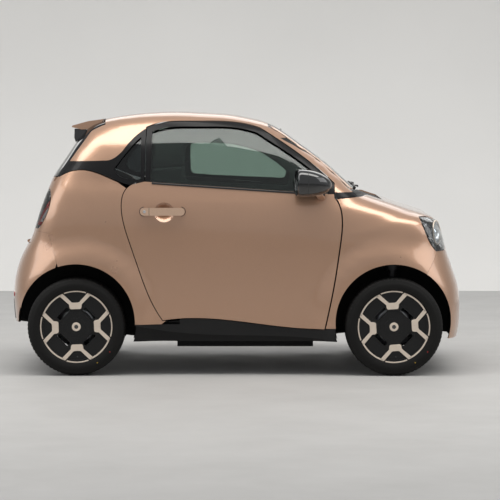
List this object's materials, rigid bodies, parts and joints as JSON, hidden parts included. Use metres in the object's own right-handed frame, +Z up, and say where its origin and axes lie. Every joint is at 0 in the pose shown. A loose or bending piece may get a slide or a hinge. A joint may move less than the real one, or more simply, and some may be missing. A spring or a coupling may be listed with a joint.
{
  "type": "two-seat electric microcar",
  "caption": "Short two-seat car with a rear motor: doors, glass hatch and drop tailgate open, front wheels steer, all wheels roll.",
  "frame": {"origin": "on the ground, below the middle of the car's bounding box", "axes": "+X forwards, +Y to the car's left, +Z up"},
  "size_m": [2.6942, 1.8874, 1.5552],
  "materials": {
    "body_paint": "pale metallic under clear coat",
    "inner_paint": "satin black",
    "underbody": "dull black seal coat",
    "black_trim": "grained",
    "gloss_black": "gloss",
    "window_glass": "tinted",
    "lamp_clear": "clear cover over bright reflector",
    "lamp_red": "clear red cover",
    "battery_case": "cast, dull",
    "drive_case": "cast, dull",
    "running_steel": "painted black",
    "tyre_rubber": "matt",
    "rim_black": "gloss black with pale accents",
    "seat_cloth": "woven",
    "cabin_plastic": "grained"
  },
  "bodies": {
    "chassis": {"floor_pan": "underbody", "battery_pack": "battery_case", "drive_unit": "drive_case", "safety_cell": "body_paint", "roof_panel": "body_paint", "bonnet": "body_paint", "cowl_panel": "black_trim", "front_fenders": "body_paint", "front_bumper": "body_paint", "grille": "black_trim", "headlamps": "lamp_clear", "quarter_panels": "body_paint", "rear_bumper": "body_paint", "tail_lamps": "lamp_red", "windscreen": "window_glass", "quarter_glass": "window_glass", "sill_covers": "black_trim", "wipers": "black_trim", "arch_liners": "black_trim", "dashboard": "cabin_plastic", "seats": "seat_cloth", "front_subframe": "running_steel", "front_struts": "running_steel", "rear_axle": "running_steel"},
    "door_assembly_left": {"door_left": "body_paint", "door_glass_left": "window_glass", "door_handle_left": "body_paint", "mirror_left": "gloss_black"},
    "door_assembly_right": {"door_right": "body_paint", "door_glass_right": "window_glass", "door_handle_right": "body_paint", "mirror_right": "gloss_black"},
    "hatch": {"rear_window": "window_glass", "roof_spoiler": "body_paint"},
    "tailgate": {"tailgate_panel": "body_paint"},
    "steering_column": {"steering_wheel": "cabin_plastic"},
    "hub_carrier_left": {"knuckle_left": "running_steel"},
    "hub_carrier_right": {"knuckle_right": "running_steel"},
    "wheel_front_left": {"tyre_front_left": "tyre_rubber", "rim_front_left": "rim_black"},
    "wheel_front_right": {"tyre_front_right": "tyre_rubber", "rim_front_right": "rim_black"},
    "wheel_rear_left": {"tyre_rear_left": "tyre_rubber", "rim_rear_left": "rim_black"},
    "wheel_rear_right": {"tyre_rear_right": "tyre_rubber", "rim_rear_right": "rim_black"}
  },
  "joints": [
    {"name": "door_left_hinge", "type": "hinge", "parent": "chassis", "child": "door_assembly_left", "pos_m": [0.44, 0.788, 0.7], "axis": [0, 0, -1], "range_deg": [0, 62]},
    {"name": "door_right_hinge", "type": "hinge", "parent": "chassis", "child": "door_assembly_right", "pos_m": [0.44, -0.788, 0.7], "axis": [0, 0, 1], "range_deg": [0, 62]},
    {"name": "hatch_hinge", "type": "hinge", "parent": "chassis", "child": "hatch", "pos_m": [-0.79, 0, 1.518], "axis": [0, 1, 0], "range_deg": [0, 75]},
    {"name": "tailgate_hinge", "type": "hinge", "parent": "chassis", "child": "tailgate", "pos_m": [-1.2595, 0, 0.775], "axis": [0, -1, 0], "range_deg": [0, 90]},
    {"name": "steer_left", "type": "hinge", "parent": "chassis", "child": "hub_carrier_left", "pos_m": [0.9275, 0.6715, 0.29], "axis": [0, 0, 1], "range_deg": [-40, 40]},
    {"name": "steer_right", "type": "hinge", "parent": "chassis", "child": "hub_carrier_right", "pos_m": [0.9275, -0.6715, 0.29], "axis": [0, 0, 1], "range_deg": [-40, 40]},
    {"name": "steering_wheel_turn", "type": "hinge", "parent": "chassis", "child": "steering_column", "pos_m": [0.215, 0.33, 0.905], "axis": [0.9135, 0, -0.4067], "range_deg": [-620, 620]},
    {"name": "wheel_front_left_roll", "type": "hinge", "parent": "hub_carrier_left", "child": "wheel_front_left", "pos_m": [0.9275, 0.7345, 0.29], "axis": [0, 1, 0], "continuous": true},
    {"name": "wheel_front_right_roll", "type": "hinge", "parent": "hub_carrier_right", "child": "wheel_front_right", "pos_m": [0.9275, -0.7345, 0.29], "axis": [0, 1, 0], "continuous": true},
    {"name": "wheel_rear_left_roll", "type": "hinge", "parent": "chassis", "child": "wheel_rear_left", "pos_m": [-0.9455, 0.715, 0.29], "axis": [0, 1, 0], "continuous": true},
    {"name": "wheel_rear_right_roll", "type": "hinge", "parent": "chassis", "child": "wheel_rear_right", "pos_m": [-0.9455, -0.715, 0.29], "axis": [0, 1, 0], "continuous": true}
  ],
  "couplings": [
    {"joint": "steer_right", "follows": "steer_left", "ratio": 1},
    {"joint": "steering_wheel_turn", "follows": "steer_left", "ratio": -15.5}
  ]
}
